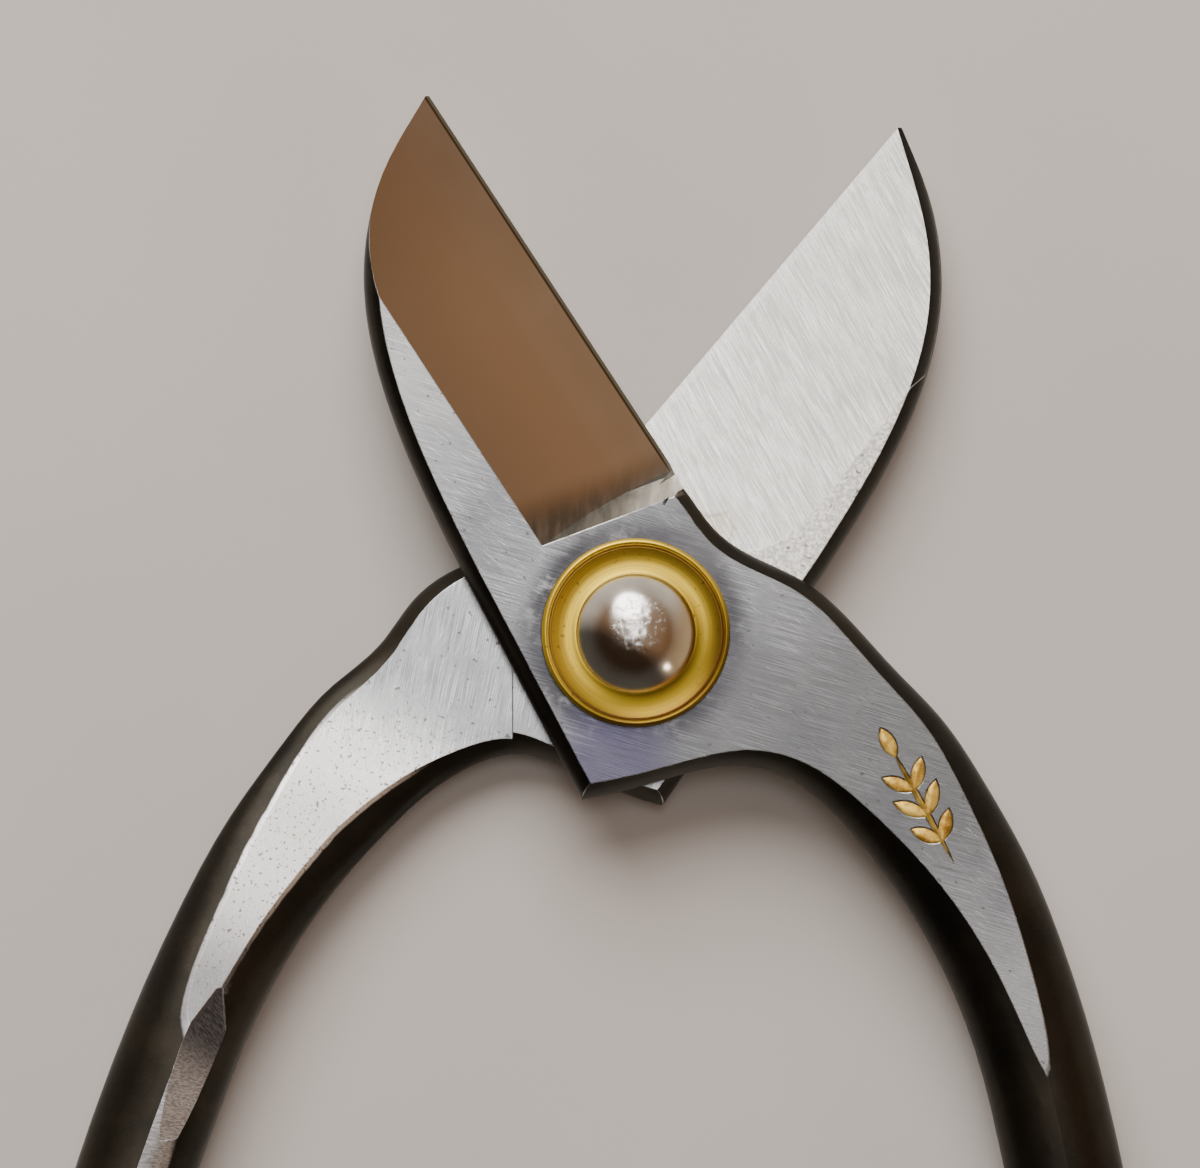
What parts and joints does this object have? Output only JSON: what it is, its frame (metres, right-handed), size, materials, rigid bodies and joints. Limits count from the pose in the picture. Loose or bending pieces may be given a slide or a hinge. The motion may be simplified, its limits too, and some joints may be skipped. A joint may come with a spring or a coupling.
{
  "type": "floral snips",
  "caption": "Forged flower and pruning snips: a pair of arms with hollow-ground blades and open looped handles, turning on a riveted pivot with a dished washer.",
  "frame": {"origin": "centre of the small flat on the riveted-over tail of the pivot rivet, which rests on the table; the pivot axis is the Z axis", "axes": "+Y from the pivot to the blades along the line that halves the opening, +Z along the pivot axis to the rivet's dome, +X to the right-hand handle seen from the dome side"},
  "size_m": [0.1165, 0.1628, 0.017],
  "materials": {
    "blackened_steel": "black oxide, with the flats ground bright",
    "hard_steel": "ground and polished",
    "polished_steel": "polished, hammered at the crown",
    "brass": "spun, lightly tarnished"
  },
  "bodies": {
    "back_half": {"back_arm": "blackened_steel", "back_edge_steel": "hard_steel", "rivet": "polished_steel", "front_washer": "brass", "rear_washer": "brass"},
    "front_half": {"front_arm": "blackened_steel", "front_edge_steel": "hard_steel"}
  },
  "joints": [
    {"name": "pivot", "type": "hinge", "parent": "back_half", "child": "front_half", "pos_m": [0, 0, 0.0077], "axis": [0, 0, 1], "range_deg": [-48.3, 15]}
  ]
}
